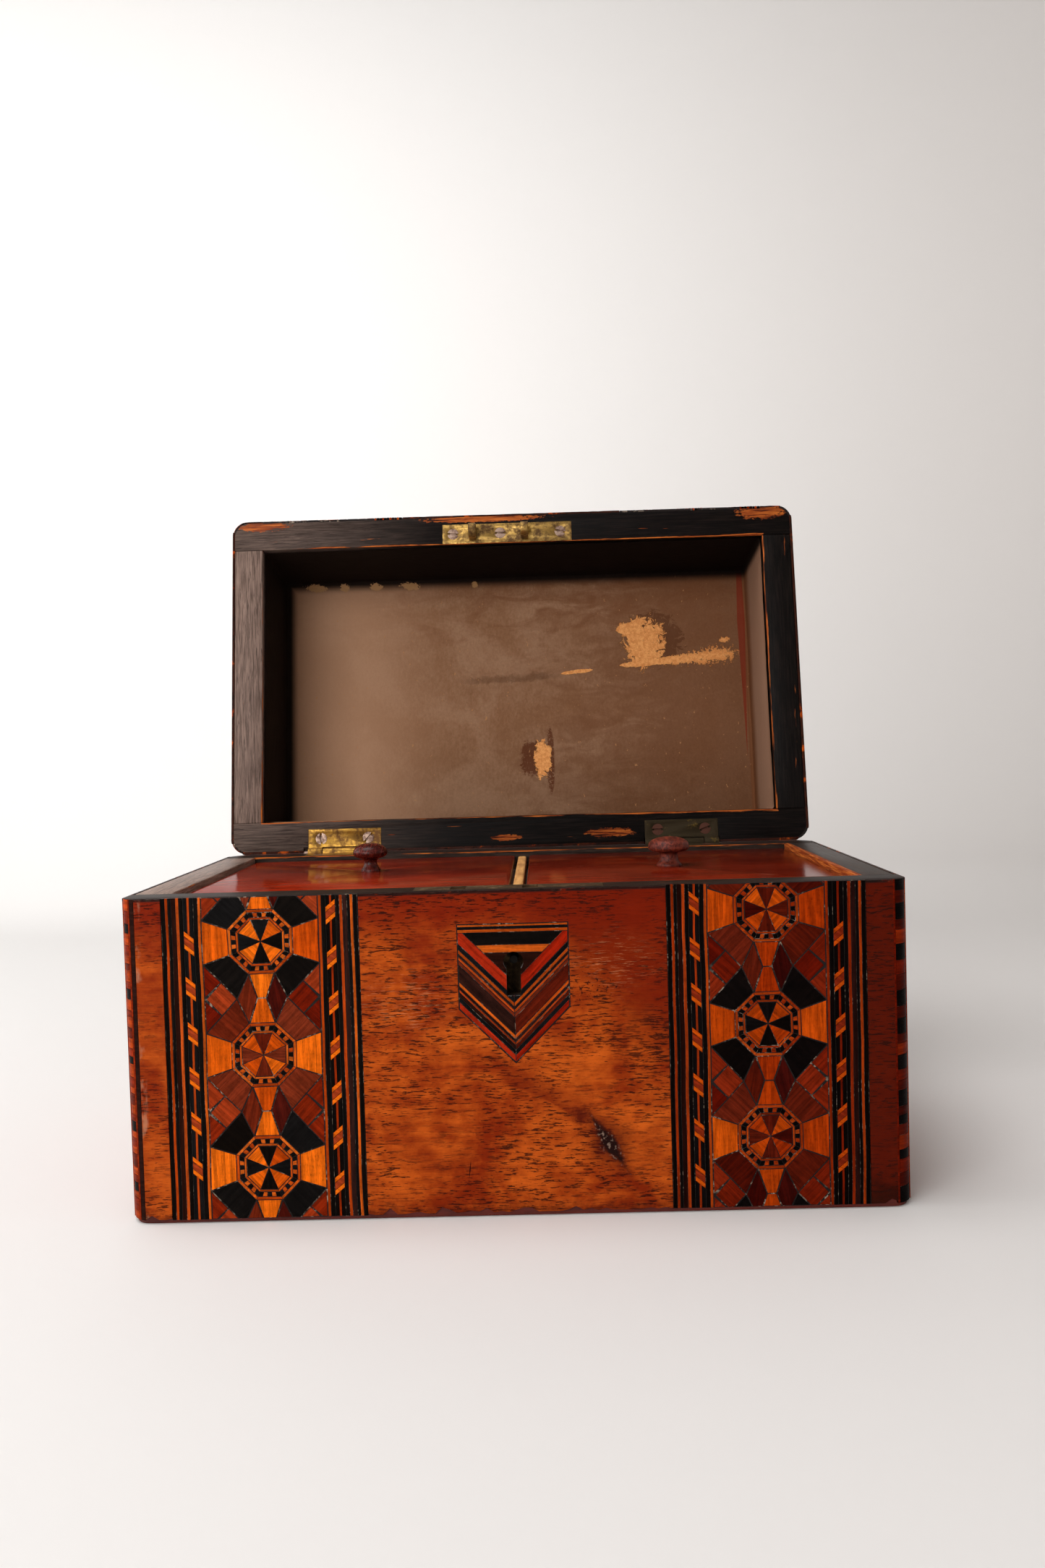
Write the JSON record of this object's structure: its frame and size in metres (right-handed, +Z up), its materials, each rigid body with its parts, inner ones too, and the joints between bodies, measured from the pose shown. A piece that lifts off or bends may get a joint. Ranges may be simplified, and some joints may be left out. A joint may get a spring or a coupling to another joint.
{
  "type": "tea caddy",
  "caption": "Rectangular wooden tea caddy with an open hinged lid, parquetry bands, a locking front, a divider and lift-out inner lids with turned knobs.",
  "frame": {"origin": "centre of the underside, the face the caddy rests on", "axes": "+X to the right as seen from the front, +Y from the keyhole side to the hinge side, +Z up; the lid is at rest open"},
  "size_m": [0.23, 0.2153, 0.232],
  "materials": {
    "carcase_wood": "ebonised and stained hardwood, satin, worn at the arrises",
    "base_wood": "red-stained softwood, matte",
    "walnut_veneer": "French-polished walnut, glossy",
    "crossbanding_wood": "polished rosewood and tulipwood blocks, glossy",
    "parquetry_wood": "polished parquetry of dark and light woods, glossy",
    "stringing_wood": "polished ebony and boxwood lines, glossy",
    "pale_wood": "bare pale softwood, matte",
    "liner_foil_wood": "thin cedar covered with tin foil, satin",
    "polished_mahogany": "French-polished mahogany, glossy",
    "turned_wood": "turned and stained hardwood, satin",
    "hinge_brass": "old lacquered brass, tarnished",
    "lock_brass": "dull tarnished brass",
    "steel": "old blued steel, worn",
    "lining_paper": "aged brown paper, matte"
  },
  "bodies": {
    "caddy_body": {"front_board": "carcase_wood", "back_board": "carcase_wood", "left_side_board": "carcase_wood", "right_side_board": "carcase_wood", "base_board": "base_wood", "front_veneer": "walnut_veneer", "back_veneer": "walnut_veneer", "left_side_veneer": "walnut_veneer", "right_side_veneer": "walnut_veneer", "corner_crossbanding": "crossbanding_wood", "parquetry_band_left": "parquetry_wood", "parquetry_band_right": "parquetry_wood", "rope_stringing_left": "stringing_wood", "rope_stringing_right": "stringing_wood", "escutcheon_shield": "parquetry_wood", "divider": "pale_wood", "left_compartment_liner": "liner_foil_wood", "right_compartment_liner": "liner_foil_wood", "lock_case": "lock_brass", "lock_cover": "lock_brass", "lock_drill_pin": "steel", "lock_screws": "steel", "left_hinge_body_leaf": "hinge_brass", "right_hinge_body_leaf": "hinge_brass", "left_hinge_pin": "steel", "right_hinge_pin": "steel", "body_hinge_screws": "steel"},
    "lid": {"left_hinge_lid_leaf": "hinge_brass", "right_hinge_lid_leaf": "hinge_brass", "lid_hinge_screws": "steel", "lid_front_board": "carcase_wood", "lid_back_board": "carcase_wood", "lid_left_board": "carcase_wood", "lid_right_board": "carcase_wood", "lid_top_board": "carcase_wood", "lid_top_veneer": "walnut_veneer", "lid_front_veneer": "walnut_veneer", "lid_back_veneer": "walnut_veneer", "lid_left_veneer": "walnut_veneer", "lid_right_veneer": "walnut_veneer", "lid_corner_crossbanding": "crossbanding_wood", "lid_edge_banding": "crossbanding_wood", "lid_parquetry_band_left": "parquetry_wood", "lid_parquetry_band_right": "parquetry_wood", "lid_rope_stringing_left": "stringing_wood", "lid_rope_stringing_right": "stringing_wood", "lid_paper_lining": "lining_paper", "link_plate": "hinge_brass", "lock_links": "hinge_brass", "link_plate_screws": "steel"},
    "left_inner_lid": {"left_inner_lid": "polished_mahogany", "left_knob": "turned_wood"},
    "right_inner_lid": {"right_inner_lid": "polished_mahogany", "right_knob": "turned_wood"},
    "lock_bolt": {"lock_bolt": "lock_brass", "lock_back_spring": "steel"}
  },
  "joints": [
    {"name": "lid_hinge", "type": "hinge", "parent": "caddy_body", "child": "lid", "pos_m": [0, 0.069, 0.09615], "axis": [1, 0, 0], "range_deg": [0, 100]},
    {"name": "left_inner_lid_lift", "type": "slide", "parent": "caddy_body", "child": "left_inner_lid", "axis": [0, 0, 1], "range_m": [0, 0.034]},
    {"name": "right_inner_lid_lift", "type": "slide", "parent": "caddy_body", "child": "right_inner_lid", "axis": [0, 0, 1], "range_m": [0, 0.034]},
    {"name": "lock_bolt_slide", "type": "slide", "parent": "caddy_body", "child": "lock_bolt", "axis": [1, 0, 0], "range_m": [0, 0.005]}
  ]
}
